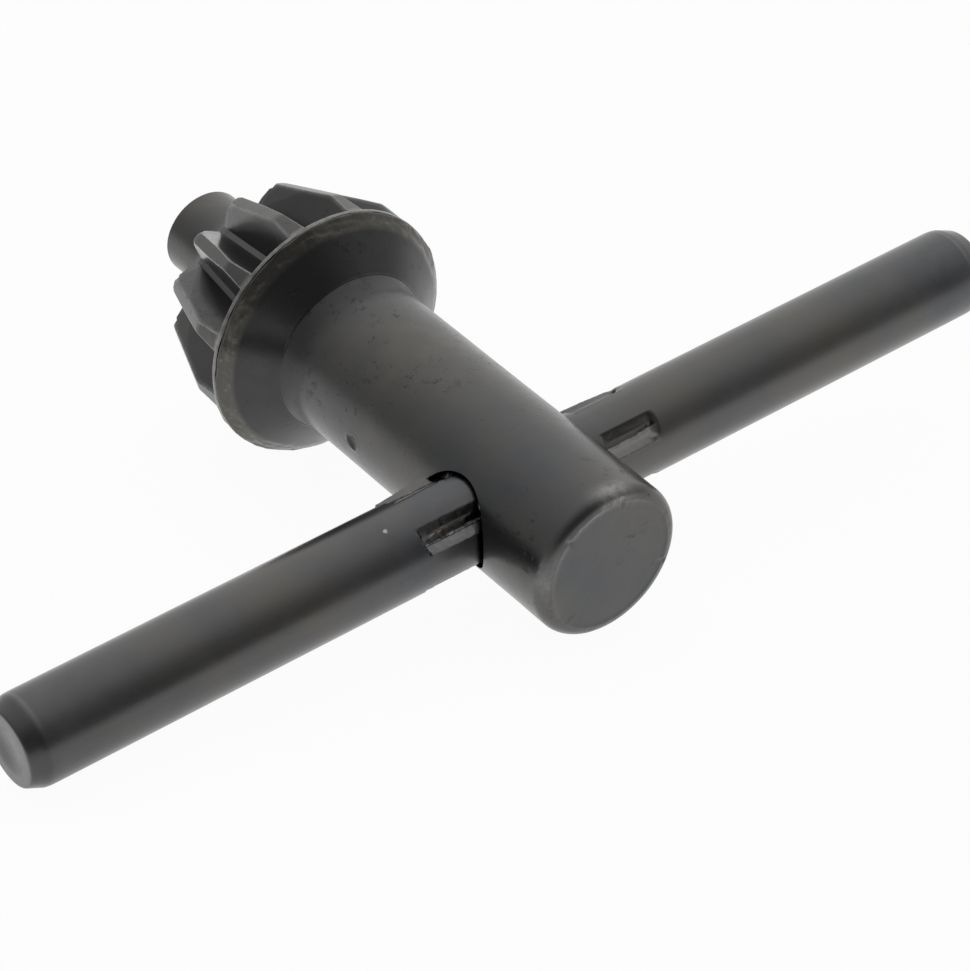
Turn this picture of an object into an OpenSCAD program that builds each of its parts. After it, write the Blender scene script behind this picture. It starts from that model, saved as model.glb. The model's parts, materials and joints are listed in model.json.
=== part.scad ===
// Drill chuck key: one forged and turned key body with a pilot, a bevel pinion, a flange and
// a round shank, and a round handle bar that is staked where it leaves the shank.
// The key lies as it comes to rest: on the flange rim, the end of the shank and one end of the
// bar. The origin is on the floor, under the middle of the key's box. +X follows the bar,
// +Y the shank towards the pilot, and +Z is up. Lengths are in millimetres.

/* [Shank] */
// Diameter of the shank
shank_d = 10.5; // [9.5:0.1:13]
// From the bar's axis to the plain end face
end_reach = 8.85; // [7:0.05:14]
// Radius that rounds the edge of the end face
end_round = 0.8; // [0.2:0.05:1.2]
// How far the ring at the root of the shank stands out from it
neck_step = 0.41; // [0.2:0.01:0.6]
// Radius of the hollow fillet between the shank and its root ring
neck_fillet = 1.4; // [0.7:0.05:2]

/* [Flange] */
// Diameter of the flange
flange_d = 17.5; // [16:0.1:22]
// From the bar's axis to the flange face that the teeth stand on
head_reach = 20.4; // [17:0.1:32]
// Thickness of the flange at its rim
rim_t = 0.4; // [0.2:0.05:1.5]
// Radial width of the trimmed band behind the rim
band_w = 0.7; // [0.2:0.05:1]
// Axial drop of the trimmed band
band_drop = 0.65; // [0.1:0.05:1]
// Axial height of the cone between the trimmed band and the root ring
cone_rise = 1.75; // [0.6:0.05:2.5]

/* [Pinion] */
// Number of teeth
teeth = 12; // [10:1:14]
// Angle of the first tooth from the bar
tooth_phase = 10.8; // [0:0.1:30]
// Length of the teeth along the key
tooth_length = 7.7; // [6:0.1:10]
// How far the crests stay inside the rim of the flange
crest_inset = 0.05; // [0.05:0.05:0.4]
// Length over which the crests run level before they slope down
crest_level = 2.15; // [1:0.05:3.5]
// Diameter over the crests at their small end
crest_small_d = 13.4; // [12:0.1:15]
// Diameter between the tooth gaps at the flange
gap_d = 13.4; // [12:0.1:14.5]
// Slope of the tooth gaps towards the pilot
gap_slope = 13.2; // [8:0.1:16]
// Width of the flat bottom of a tooth gap
gap_floor = 0.4; // [0.2:0.05:0.8]
// Angle between a tooth flank and the middle of its gap
flank_angle = 33.5; // [26:0.5:36]
// How far each flank is turned, so that the gap widens towards the flange
gap_taper = 2.2; // [0.5:0.1:3]
// How much steeper the lead-in facets slope than the tooth gaps
lead_drop = 3; // [2:0.5:10]
// How far the lead-in facets are turned away from the flanks
lead_turn = 1.5; // [1:0.5:8]
// From the end of the teeth back to where the lead-in facets reach the gap's bottom
lead_length = 0.5; // [0.2:0.1:1.5]

/* [Pilot] */
// Diameter of the pilot
pilot_d = 6; // [5:0.1:7]
// Straight length of the pilot, with its chamfer
pilot_length = 3.25; // [2:0.05:6]
// Chamfer at the tip of the pilot
pilot_chamfer = 0.25; // [0.1:0.05:0.9]
// Radius of the hollow fillet between the pilot and the end of the pinion
nose_fillet = 2.55; // [1.5:0.05:2.9]
// How far the end of the pinion slopes forward from the teeth to that fillet
face_rise = 0.4; // [0.1:0.05:0.8]

/* [Handle bar] */
// Diameter of the handle bar
bar_d = 5.9; // [4.5:0.1:6.5]
// Length of the handle bar
bar_length = 73.1; // [55:0.1:110]
// How far the middle of the bar sits towards the end that touches the floor
bar_shift = 0.1; // [0.05:0.05:0.6]
// Length of the bevel at each end of the bar
bar_bevel = 1.2; // [0.5:0.1:2]
// Depth of the bevel at each end of the bar
bar_bevel_depth = 0.5; // [0.2:0.05:0.9]
// Clearance between the bar and its hole, across the diameter
bar_clearance = 0.4; // [0.3:0.05:1]
// Gap left where the bar seats in its hole
bar_seat_gap = 0.1; // [0.05:0.05:0.15]
// Angle from straight up to the widest side of the hole, towards the end face
bar_gap_turn = 65; // [0:5:90]

/* [Stakes] */
// Length of each stake mark along the bar
stake_length = 4; // [2:0.1:6]
// Width of a stake mark across its lips
stake_w = 2; // [1.2:0.05:2.4]
// Depth of a stake mark below the bar's surface
stake_depth = 0.5; // [0.3:0.05:0.8]
// Height of the raised lips beside a stake mark
lip_h = 0.3; // [0.2:0.05:0.45]
// Thickness of a raised lip
lip_t = 0.3; // [0.2:0.05:0.5]
// Clearance between the stake marks and the shank
stake_gap = 0.1; // [0.05:0.05:0.5]
// Number of stake marks around the bar on each side
stakes = 4; // [2:1:4]
// Angle of the first stake mark from the end face
stake_phase = 40; // [0:1:60]

/* [Hidden] */
$fn = 96;
cut = 1;
shank_r = shank_d / 2;
flange_r = flange_d / 2;
pilot_r = pilot_d / 2;
bar_r = bar_d / 2;
hole_r = (bar_d + bar_clearance) / 2;
hole_offset = bar_clearance / 2 - bar_seat_gap;
crest_r = flange_r - crest_inset;
crest_small_r = crest_small_d / 2;
gap_r = gap_d / 2;

// Stations along the key's axis, from the bar's axis towards the pilot
rim_back = head_reach - rim_t;
cone_foot = rim_back - band_drop;
ring_at = cone_foot - cone_rise;
fillet_run = sqrt(pow(neck_fillet, 2) - pow(neck_fillet - neck_step, 2));
tooth_end = head_reach + tooth_length;
fillet_foot = tooth_end + face_rise;
pilot_foot = fillet_foot + nose_fillet;
tip = pilot_foot + pilot_length;

// Rest pose. The pitch lays the rim and the rounded end on the floor.
end_centre = end_reach - end_round;
end_centre_r = shank_r - end_round;
rim_span = rim_back + end_centre;
rim_rise = flange_r - end_centre_r;
pitch = atan2(rim_rise, rim_span) - asin(end_round / norm([rim_span, rim_rise]));
cross_h = flange_r * cos(pitch) - rim_back * sin(pitch);
// The roll then lowers one end of the bar to the floor
bar_left = bar_length / 2 + bar_shift;
bar_touch = bar_left - bar_bevel;
bar_slope = asin(cross_h / norm([bar_touch, bar_r])) - atan2(bar_r, bar_touch);
roll = asin(sin(bar_slope) / cos(pitch));
// Middle of the box on the floor
tip_side = max(tip * cos(pitch) + (pilot_r - pilot_chamfer) * sin(pitch),
               (tip - pilot_chamfer) * cos(pitch) + pilot_r * sin(pitch));
end_side = end_centre * cos(pitch) + end_centre_r * sin(pitch) + end_round;
centre_x = -bar_shift * cos(roll);
centre_y = (tip_side - end_side) / 2;

function arc(cx, cy, r, from, to, n) =
    [for (i = [0:n]) let (a = from + (to - from) * i / n) [cx + r * cos(a), cy + r * sin(a)]];

// Places what is drawn about the crossing of the two axes in the rest pose
module rest() {
    translate([-centre_x, -centre_y, cross_h]) rotate([pitch, 0, 0]) rotate([0, -roll, 0]) children();
}

// Turns +Z to the pilot's side of the key
module along_key() {
    rotate([-90, 0, 0]) children();
}

// Outline of the turned shank, its root ring and the flange, from the end face to the teeth
module body_outline() {
    fillet_angle = acos((neck_fillet - neck_step) / neck_fillet);
    polygon(concat(
        [[0, -end_reach]],
        arc(end_centre_r, -end_centre, end_round, -90, 0, 8),
        arc(shank_r + neck_fillet, ring_at - fillet_run, neck_fillet, 180, 180 - fillet_angle, 6),
        [[flange_r - band_w, cone_foot], [flange_r, rim_back], [flange_r, head_reach], [0, head_reach]]
    ));
}

// Outline of the blank that the teeth are cut from, with the fillet that runs into the pilot
module pinion_outline() {
    polygon(concat(
        [[0, rim_back], [crest_r, rim_back], [crest_r, head_reach + crest_level]],
        [[crest_small_r, tooth_end]],
        arc(pilot_r + nose_fillet, pilot_foot, nose_fillet, 270, 180, 12),
        [[pilot_r, tip - pilot_chamfer], [pilot_r - pilot_chamfer, tip], [0, tip]]
    ));
}

// One cut whose flat floor passes radius r at station s and slopes inward. Its walls lean out
// from the middle by the given angle, and are turned so that the cut is narrowest at the end
// of the teeth.
module gap_cut(r, s, slope, angle, back, ahead) {
    translate([r, 0, s]) rotate([0, -slope, 0]) intersection() {
        gap_side(0, angle, s, back, ahead);
        mirror([0, 1, 0]) gap_side(-cut, angle, s, back, ahead);
    }
}

// What lies on the gap's side of one wall, above the given level
module gap_side(level, angle, s, back, ahead) {
    height = flange_r;
    wide = 2 * flange_r;
    at_level = gap_floor / 2 + level * tan(angle);
    at_top = gap_floor / 2 + height * tan(angle);
    translate([0, 0, tooth_end - s]) rotate([gap_taper, 0, 0]) translate([0, 0, s - tooth_end - back])
        linear_extrude(height = back + ahead)
            polygon([[level, -wide], [height, -wide], [height, at_top], [level, at_level]]);
}

module pinion() {
    lead_s = tooth_end - lead_length;
    lead_r = gap_r - (lead_s - head_reach) * tan(gap_slope);
    lead_slope = gap_slope + lead_drop;
    past_end = face_rise + nose_fillet;
    difference() {
        rotate_extrude() pinion_outline();
        for (i = [0:teeth - 1]) rotate([0, 0, -tooth_phase - (i + 0.5) * 360 / teeth]) {
            gap_cut(gap_r, head_reach, gap_slope, flank_angle, rim_t + cut, tooth_length + past_end);
            gap_cut(lead_r, lead_s, lead_slope, flank_angle + lead_turn, tooth_length / 2, past_end);
        }
    }
}

module key_body() {
    color([0.27, 0.27, 0.28]) rest() difference() {
        along_key() union() {
            rotate_extrude() body_outline();
            pinion();
        }
        rotate([bar_gap_turn, 0, 0]) translate([0, 0, hole_offset]) rotate([0, 90, 0])
            cylinder(r = hole_r, h = 2 * flange_r, center = true);
    }
}

// The bar as a turned rod with a bevel at each end, along +Z
module rod() {
    half = bar_length / 2;
    end_r = bar_r - bar_bevel_depth;
    rotate_extrude() polygon([
        [0, -half], [end_r, -half], [bar_r, bar_bevel - half],
        [bar_r, half - bar_bevel], [end_r, half], [0, half]
    ]);
}

// Metal raised on both sides of a stake mark, then the mark itself, both along +Z
module stake_pad() {
    spread = stake_w + 2 * lip_t;
    linear_extrude(height = stake_length) intersection() {
        circle(r = bar_r + lip_h);
        translate([bar_r / 2, -spread / 2]) square([bar_r, spread]);
    }
}

module stake_mark() {
    floor_x = bar_r - stake_depth;
    grow = stake_w / 2 / (stake_depth + lip_h);
    reach = stake_depth + lip_h + cut;
    translate([0, 0, -cut]) linear_extrude(height = stake_length + cut)
        polygon([[floor_x, 0], [floor_x + reach, -grow * reach], [floor_x + reach, grow * reach]]);
}

module tommy_bar() {
    mark_at = shank_r + stake_gap;
    color([0.33, 0.33, 0.34]) rest() rotate([0, 90, 0]) difference() {
        union() {
            translate([0, 0, -bar_shift]) rod();
            for (side = [0, 1], i = [0:stakes - 1])
                mirror([0, 0, side]) rotate([0, 0, mark_turn(i)]) translate([0, 0, mark_at]) stake_pad();
        }
        for (side = [0, 1], i = [0:stakes - 1])
            mirror([0, 0, side]) rotate([0, 0, mark_turn(i)]) translate([0, 0, mark_at]) stake_mark();
    }
}

// Turn that brings +X of the rod's own frame to a stake mark, counted from the end face upwards
function mark_turn(i) = -90 - stake_phase - i * 360 / stakes;

key_body();
tommy_bar();
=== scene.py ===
import json
from math import acos, asin, atan2, cos, degrees, hypot, pi, radians, sin, sqrt, tan
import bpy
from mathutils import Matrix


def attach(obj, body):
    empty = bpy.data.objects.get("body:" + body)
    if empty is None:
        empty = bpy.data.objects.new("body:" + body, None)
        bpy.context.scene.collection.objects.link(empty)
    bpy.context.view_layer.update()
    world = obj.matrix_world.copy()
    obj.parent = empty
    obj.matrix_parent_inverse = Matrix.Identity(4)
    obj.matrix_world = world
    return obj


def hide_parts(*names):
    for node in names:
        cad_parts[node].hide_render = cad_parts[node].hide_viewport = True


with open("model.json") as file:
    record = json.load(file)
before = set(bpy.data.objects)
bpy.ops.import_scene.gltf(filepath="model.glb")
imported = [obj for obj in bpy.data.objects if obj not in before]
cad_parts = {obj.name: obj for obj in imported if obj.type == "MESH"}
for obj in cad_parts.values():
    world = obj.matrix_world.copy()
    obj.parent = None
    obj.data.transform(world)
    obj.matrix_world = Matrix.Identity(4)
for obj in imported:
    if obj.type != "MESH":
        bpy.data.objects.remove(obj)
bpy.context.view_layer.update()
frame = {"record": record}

from types import SimpleNamespace

import bpy
import numpy as np
from mathutils import Matrix, Vector, noise

bl_info = {
    "name": "Drill Chuck Key",
    "version": (1, 0, 0),
    "blender": (4, 5, 0),
    "location": "View3D > Sidebar > Chuck Key",
    "description": "Builds the steel body, the staked handle bar and the studio of a drill chuck key",
    "category": "Add Mesh",
}

# Inside this file lengths are millimetres and angles about the key are degrees. The key's own axes
# are X along the handle bar, Y along the shank towards the pilot and Z away from the floor, from
# the point where the two axes cross. A station is a place along Y.
MM = 1000.0


def linear(code):
    """Turns an sRGB hex colour into a linear one."""
    shares = [int(code[i:i + 2], 16) / 255 for i in (1, 3, 5)]
    return [c / 12.92 if c <= 0.04045 else ((c + 0.055) / 1.055) ** 2.4 for c in shares]


def length(name, description, mm):
    """A length property that is written here in millimetres."""
    return bpy.props.FloatProperty(name=name, description=description, default=mm / MM, min=0.0,
                                   precision=5, subtype="DISTANCE", unit="LENGTH")


def angle(name, description, deg):
    """An angle property that is written here in degrees."""
    return bpy.props.FloatProperty(name=name, description=description, default=radians(deg),
                                   precision=3, subtype="ANGLE", unit="ROTATION")


def share(name, description, value, top=1.0):
    return bpy.props.FloatProperty(name=name, description=description, default=value, min=0.0, max=top)


def colour(name, description, code):
    return bpy.props.FloatVectorProperty(name=name, description=description, default=linear(code),
                                         size=3, min=0.0, max=1.0, subtype="COLOR")


class ChuckKeyBodySizes(bpy.types.PropertyGroup):
    shank_radius: length("Shank radius", "Radius of the round shank", 5.25)
    end_reach: length("End reach", "From the bar's axis to the plain end face", 8.85)
    end_round: length("End rounding", "Radius that rounds the edge of the end face", 0.8)
    ring_radius: length("Root ring", "Radius of the ring at the root of the shank", 5.66)
    ring_at: length("Ring station", "Station of the ring at the root of the shank", 17.6)
    neck_fillet: length("Neck fillet", "Radius of the hollow between the shank and its root ring", 4.0)
    flange_radius: length("Flange radius", "Radius of the flange", 8.72)
    head_reach: length("Head reach", "Station of the flange face that the teeth stand on", 20.4)
    rim_width: length("Rim width", "Thickness of the flange at its rim", 0.45)
    land_width: length("Land width", "Width of the smooth land on the rim, beside the teeth", 0.33)
    band_width: length("Band width", "Radial width of the trimmed band behind the rim", 0.67)
    band_drop: length("Band drop", "How far the trimmed band slopes back", 0.6)
    hole_radius: length("Hole radius", "Radius of the cross hole for the bar", 3.15)
    hole_offset: length("Hole offset", "How far the hole's axis lies from the bar's axis", 0.1)
    hole_turn: angle("Hole offset angle", "From straight up to that offset, towards the end face", 65)
    dent_width: length("Test dent", "Width of the round dent of the hardness test on the shank", 1.1)


class ChuckKeyPinionSizes(bpy.types.PropertyGroup):
    teeth: bpy.props.IntProperty(name="Teeth", description="Number of teeth", default=12, min=10, max=14)
    phase: angle("First tooth", "Angle of the first tooth from the bar", 10.8)
    length: length("Tooth length", "Length of the teeth along the key", 7.7)
    crest_inset: length("Crest inset", "How far the crests stay inside the rim", 0.04)
    crest_level: length("Level crest", "Length over which the crests run level", 2.15)
    crest_small: length("Small end radius", "Radius over the crests at their small end", 6.7)
    gap_radius: length("Gap radius", "Radius of the bottom of the tooth gaps at the flange", 6.7)
    gap_slope: angle("Gap slope", "Slope of the tooth gaps towards the pilot", 13.2)
    gap_floor: length("Gap bottom", "Width of the flat bottom of a tooth gap", 0.4)
    flank_small: angle("Flank at small end", "Angle of a flank to its gap at the small end", 31.8)
    flank_large: angle("Flank at flange", "Angle of a flank to its gap at the flange", 40.0)
    facet_turn: angle("Facet turn", "How far the lead-in facets are turned away from the flanks", 3.0)
    facet_length: length("Facet length", "Length of the lead-in facets along the crests", 3.0)
    pilot_radius: length("Pilot radius", "Radius of the pilot", 3.0)
    pilot_length: length("Pilot length", "Straight length of the pilot, with its chamfer", 3.25)
    pilot_chamfer: length("Pilot chamfer", "Chamfer at the tip of the pilot", 0.25)
    nose_fillet: length("Nose fillet", "Radius of the hollow between the pilot and the pinion", 2.55)
    face_rise: length("Face rise", "How far the pinion's end slopes forward to that hollow", 0.4)


class ChuckKeyBarSizes(bpy.types.PropertyGroup):
    radius: length("Bar radius", "Radius of the handle bar", 2.95)
    length: length("Bar length", "Length of the handle bar", 73.1)
    shift: length("Bar shift", "How far the bar's middle sits towards its low end", 0.1)
    bevel: length("Bevel length", "Length of the bevel at each end", 1.2)
    bevel_depth: length("Bevel depth", "Depth of the bevel at each end", 0.5)
    stake_from: length("Stake start", "From the shank's axis to the near end of the stake marks", 4.1)
    stake_to: length("Stake end", "From the shank's axis to the far end of the stake marks", 8.75)
    stake_width: length("Stake width", "Width of a stake mark between its lips", 1.9)
    stake_depth: length("Stake depth", "Depth of a stake mark below the bar's surface", 0.5)
    lip_height: length("Lip height", "Height of the metal raised beside the highest stake mark", 0.42)
    stake_phase: angle("First stake", "Angle of the first stake mark from the end face", 41.5)


class ChuckKeyFinish(bpy.types.PropertyGroup):
    oxide: colour("Black oxide", "Reflected colour of the blackened steel", "#545454")
    cool: colour("Cool patches", "Thin oxide with a bluish cast", "#4C4E52")
    warm: colour("Warm patches", "Oil film with a warm cast", "#5E5B55")
    drawn: colour("Drawn oxide", "Reflected colour of the blackened handle bar", "#5E5E5F")
    # The forged oxide colour is also painted shade in the neck hollow and the tooth gaps
    scale: colour("Forged oxide", "Thick dark oxide on the forged back of the flange", "#454546")
    # The pit colour is also painted shade in the test dent, in a pocket of the rim, on the stake marks'
    # upper walls and on the bar's bevels
    pit_and_shade: colour("Scale pits", "Rolled-in scale left in the pits", "#3B3A37")
    stamped: colour("Stamped streak", "Warm burnished streak in the stake marks", "#8B8379")
    # The bare steel colour is also a painted reflection on the lead-in facets of the teeth and a painted
    # highlight on the ridges of the bar's bevels
    bare: colour("Bare steel", "Steel where the oxide is rubbed or torn off", "#C4C3C0")
    brown: colour("Brown band", "Brownish oxide on trimmed and stamped metal", "#55534E")
    roughness: share("Roughness", "Roughness of the blackened surface", 0.34)
    oil: share("Oil film", "How much of the surface a thin rust-proofing oil covers", 0.4)
    oil_roughness: share("Oil roughness", "Roughness of the oil film", 0.2)


class ChuckKeyStudio(bpy.types.PropertyGroup):
    azimuth: angle("Azimuth", "Where the camera stands, from the front towards the right", -36.9115)
    elevation: angle("Elevation", "Height of the camera above the floor, as an angle", 31.0532)
    roll: angle("Roll", "Roll of the camera about its own line of sight", -1.2692)
    distance: length("Distance", "From the camera to the point it is aimed at", 234.008)
    aim: bpy.props.FloatVectorProperty(name="Aim", description="Point that the camera is aimed at",
                                       default=(-0.001465, -0.011152, 0.006466), size=3, precision=5,
                                       subtype="TRANSLATION", unit="LENGTH")
    lens: bpy.props.FloatProperty(name="Lens", description="Focal length in millimetres",
                                  default=142.449, unit="CAMERA")
    floor: colour("Floor", "Colour of the pale floor", "#F6F6F5")
    behind: share("Light behind", "Brightness of the soft surround behind and above the key", 0.97, 4.0)
    front: share("Light in front", "Brightness of the soft surround on the camera's side", 0.38, 4.0)
    light_turn: angle("Light turn", "Where the brightest part of the surround is, from +Y towards +X", 50)
    light_height: angle("Light height", "How high the brightest part of the surround is", 40)
    shade: share("Shade", "How much darker the surround is on its dark side", 0.6)
    shade_turn: angle("Shade turn", "Where the surround is darkest, from +Y towards +X", -165)
    shade_height: angle("Shade height", "How high the darkest part of the surround is", 18)
    floor_seen: share("Floor seen", "How much of the floor's white is its own, seen directly", 0.955)
    floor_mirrored: share("Floor mirrored", "The same where the steel mirrors it", 0.92)


def own_properties(group):
    """The properties that a group declares itself."""
    return [prop for prop in group.bl_rna.properties if prop.identifier not in ("rna_type", "name")]


def in_units(group):
    """The values of a property group, with its lengths in millimetres and its angles in degrees."""
    values = {}
    for prop in own_properties(group):
        value = getattr(group, prop.identifier)
        if prop.unit == "LENGTH" and prop.type == "FLOAT" and not prop.is_array:
            value *= MM
        elif prop.unit == "ROTATION":
            value = degrees(value)
        values[prop.identifier] = value
    return SimpleNamespace(**values)


def add_head_places(body, pinion):
    """Adds the stations and radii that the head's shapes, wear and masks share to the body's sizes."""
    body.rim_back = body.head_reach - body.rim_width
    body.land = body.head_reach - body.land_width
    body.band_foot = body.rim_back - body.band_drop
    body.teeth_end = body.head_reach + pinion.length
    body.crest = body.flange_radius - pinion.crest_inset


def rest_pose(body, bar):
    """Takes the key's own axes, in metres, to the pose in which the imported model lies."""
    end = next(m for m in frame["record"]["mounts"] if m["name"] == "end_face")
    along = -Vector(end["axis"])
    crossing = Vector(end["pos_m"]) + along * body.end_reach / MM
    pitch = asin(along.z)
    touch = bar.length / 2 + bar.shift - bar.bevel
    slope = asin(crossing.z * MM / hypot(touch, bar.radius)) - atan2(bar.radius, touch)
    roll = asin(sin(slope) / cos(pitch))
    turn = Matrix.Rotation(pitch, 4, "X") @ Matrix.Rotation(-roll, 4, "Y")
    return Matrix.Translation(crossing) @ turn


# Mesh helpers

def arc(centre, radius, start, end, steps):
    """Points on an arc about centre, from the start angle to the end angle."""
    turns = np.radians(np.linspace(start, end, steps + 1))
    return [(centre[0] + radius * cos(a), centre[1] + radius * sin(a)) for a in turns]


def line(start, end, steps):
    """Points from start to end, without start itself."""
    shares = np.linspace(0, 1, steps + 1)[1:]
    return [(start[0] + (end[0] - start[0]) * t, start[1] + (end[1] - start[1]) * t) for t in shares]


def speckle(points, grain, seed, octaves=1):
    """Smooth noise from about -1 to 1 at each point, with lumps of that size in millimetres."""
    shift = Vector((seed * 7.13, seed * 3.71, seed * 5.37))
    return np.array([noise.fractal(Vector(p) / grain + shift, 0.6, 2.0, octaves) for p in points])


def smooth_step(low, high, value):
    t = np.clip((value - low) / (high - low), 0, 1)
    return t * t * (3 - 2 * t)


def between(value, low, full, end, gone):
    """Rises from 0 at low to 1 at full, and falls again from 1 at end to 0 at gone."""
    return smooth_step(low, full, value) * (1 - smooth_step(end, gone, value))


def hump(away, width):
    """One where away is 0, and mostly gone at twice the width."""
    return np.exp(-(away / width) ** 2)


def soft_min(a, b, blend):
    """The smaller of a and b, with their crease rounded."""
    h = np.clip(0.5 + 0.5 * (b - a) / blend, 0, 1)
    return b * (1 - h) + a * h - blend * h * (1 - h)


def ring_mesh(name, rings, start, end):
    """A closed mesh from rings of points, with one point at each end. A ring may have half the points
    of its neighbour."""
    verts = [start]
    offsets = []
    for ring in rings:
        offsets.append(len(verts))
        verts.extend(map(tuple, ring))
    verts.append(end)
    faces = []
    first, last = len(rings[0]), len(rings[-1])
    faces += [(0, offsets[0] + (i + 1) % first, offsets[0] + i) for i in range(first)]
    for j in range(len(rings) - 1):
        a, b = offsets[j], offsets[j + 1]
        na, nb = len(rings[j]), len(rings[j + 1])
        if na == nb:
            faces += [(a + i, a + (i + 1) % na, b + (i + 1) % na, b + i) for i in range(na)]
        else:
            for i in range(na):
                faces.append((a + i, b + 2 * i + 1, b + 2 * i))
                faces.append((a + i, a + (i + 1) % na, b + (2 * i + 2) % nb, b + 2 * i + 1))
    tip = len(verts) - 1
    faces += [(offsets[-1] + i, offsets[-1] + (i + 1) % last, tip) for i in range(last)]
    mesh = bpy.data.meshes.new(name)
    mesh.from_pydata(verts, [], faces)
    mesh.update()
    return mesh


def points_of(mesh):
    flat = np.empty(len(mesh.vertices) * 3)
    mesh.vertices.foreach_get("co", flat)
    return flat.reshape(-1, 3)


def set_points(mesh, points):
    mesh.vertices.foreach_set("co", points.ravel())
    mesh.update()


def set_mask(mesh, name, values):
    """Stores a number from 0 to 1 for each point, which the materials read."""
    attribute = mesh.attributes.new(name, "FLOAT", "POINT")
    attribute.data.foreach_set("value", np.clip(values, 0, 1).astype(np.float32))


def add_object(name, data):
    """Makes an object and links it to the scene."""
    item = bpy.data.objects.new(name, data)
    bpy.context.scene.collection.objects.link(item)
    return item


def place(mesh, name, matrix, node, material):
    """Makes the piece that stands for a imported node. Its points are in the stage's own axes, and an
    attribute keeps their places in the key's axes, in metres, for the patterns."""
    attribute = mesh.attributes.new("key_place", "FLOAT_VECTOR", "POINT")
    attribute.data.foreach_set("vector", (points_of(mesh) / MM).astype(np.float32).ravel())
    mesh.transform(matrix @ Matrix.Scale(1 / MM, 4))
    mesh.polygons.foreach_set("use_smooth", [True] * len(mesh.polygons))
    mesh.set_sharp_from_angle(angle=radians(38))
    mesh.materials.clear()
    mesh.materials.append(material)
    piece = add_object(name, mesh)
    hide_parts(node)
    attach(piece, "root")


# The key body

# How the points of half a tooth gap are spread over its bottom, its flank and half the crest beside it
BOTTOM_SHARES = np.array([0, 0.5, 0.85])
FLANK_SHARES = np.array([0, 0.04, 0.1, 0.18, 0.28, 0.39, 0.5, 0.61, 0.72, 0.82, 0.91, 0.97])
CREST_SHARES = np.array([0, 0.07, 0.16, 0.3, 0.45, 0.6, 0.74, 0.88, 1])
KNOTS = len(BOTTOM_SHARES) + len(FLANK_SHARES) + len(CREST_SHARES)
# Width over which the edges of the teeth are rounded, in millimetres
EDGE_BLEND = 0.06


def cut_radius(half, station, radius, at, slope, lean, floor):
    """How far out the metal reaches in a straight cut, at angles in degrees from its middle. The cut's
    bottom passes radius at station at; its walls start at half the width floor and lean out by lean."""
    turn = np.radians(half)
    fall = (station - at) * sin(radians(slope))
    level = cos(radians(slope))
    bottom = (radius * level - fall) / level / np.cos(turn)
    reach = (radius * level - fall) * lean - floor
    opening = lean * level * np.cos(turn) - np.sin(turn)
    wall = np.where(opening > 1e-4, reach / np.maximum(opening, 1e-4), 1e3)
    return np.maximum(bottom, wall)


def gap_cuts(half, station, body, pinion):
    """Radius of a tooth gap and of its lead-in facets. The flanks lean out more towards the flange."""
    small, large = tan(radians(pinion.flank_small)), tan(radians(pinion.flank_large))
    lean = small + (large - small) * (body.teeth_end - station) / pinion.length
    floor = pinion.gap_floor / 2
    common = (pinion.gap_radius, body.head_reach, pinion.gap_slope)
    gap = cut_radius(half, station, *common, lean, floor)
    turn = tan(radians(pinion.facet_turn))
    height = pinion.crest_small - pinion.gap_radius + pinion.length * tan(radians(pinion.gap_slope))
    # The facets run on a little past the small end of the teeth
    past = 0.2
    facet_floor = floor + turn * (station - body.teeth_end - past)
    facet_lean = lean + turn * (pinion.facet_length + past) / height
    facet = cut_radius(half, station, *common, facet_lean, facet_floor)
    return gap, facet


def gap_surface(half, station, body, pinion):
    return np.minimum(*gap_cuts(half, station, body, pinion))


def gap_knots(station, blank, body, pinion):
    """Angles from the middle of a gap to the middle of a tooth, closer together at the edges."""
    half_pitch = 180 / pinion.teeth
    scan = np.linspace(0, half_pitch, 400)
    surface = gap_surface(scan, station, body, pinion)
    if surface[0] > blank - 0.05:
        return np.linspace(0, half_pitch, KNOTS)
    crest = float(np.interp(blank, surface, scan))
    foot = degrees(asin(pinion.gap_floor / 2 / surface[0]))
    foot = min(foot, crest * 0.6)
    flank_part = foot + (crest - foot) * FLANK_SHARES
    crest_part = crest + (half_pitch - crest) * CREST_SHARES
    return np.concatenate([BOTTOM_SHARES * foot, flank_part, crest_part])


def ring_angles(knots, pinion):
    """Angles round the key for one ring, and how far each is from the middle of its gap."""
    pitch = 360 / pinion.teeth
    one = np.concatenate([-knots[:0:-1], knots[:-1]])
    middles = pinion.phase + (np.arange(pinion.teeth) + 0.5) * pitch
    angles = (middles[:, None] + one[None, :]).ravel()
    return angles, np.tile(np.abs(one), pinion.teeth)


def back_profile(body):
    """(station, radius) of the turned outside, from the end face to the root ring."""
    end = -body.end_reach
    centre = (end + body.end_round, body.shank_radius - body.end_round)
    rows = line((end, 0), (end, centre[1] - 0.12), 15)[:-1]
    rows += [(end, centre[1] - 0.09), (end - 0.025, centre[1] - 0.03), (end - 0.02, centre[1] + 0.02)]
    rows += arc(centre, body.end_round, 172, 90, 10)
    rise = body.ring_radius - 0.12 - body.shank_radius
    run = sqrt(body.neck_fillet ** 2 - (body.neck_fillet - rise) ** 2)
    foot = body.ring_at - 0.14 - run
    for stop, step in ((-3.6, 0.35), (3.6, 0.2), (8.9, 0.35), (11.3, 0.12), (foot, 0.35)):
        rows += line(rows[-1], (stop, body.shank_radius), round((stop - rows[-1][0]) / step))
    bend = degrees(acos((body.neck_fillet - rise) / body.neck_fillet))
    rows += arc((foot, body.shank_radius + body.neck_fillet), body.neck_fillet, 270, 270 + bend, 9)[1:]
    # The ring's edge is a low step
    rows += [(body.ring_at - 0.12, body.ring_radius - 0.07), (body.ring_at - 0.04, body.ring_radius - 0.02)]
    return rows


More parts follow.
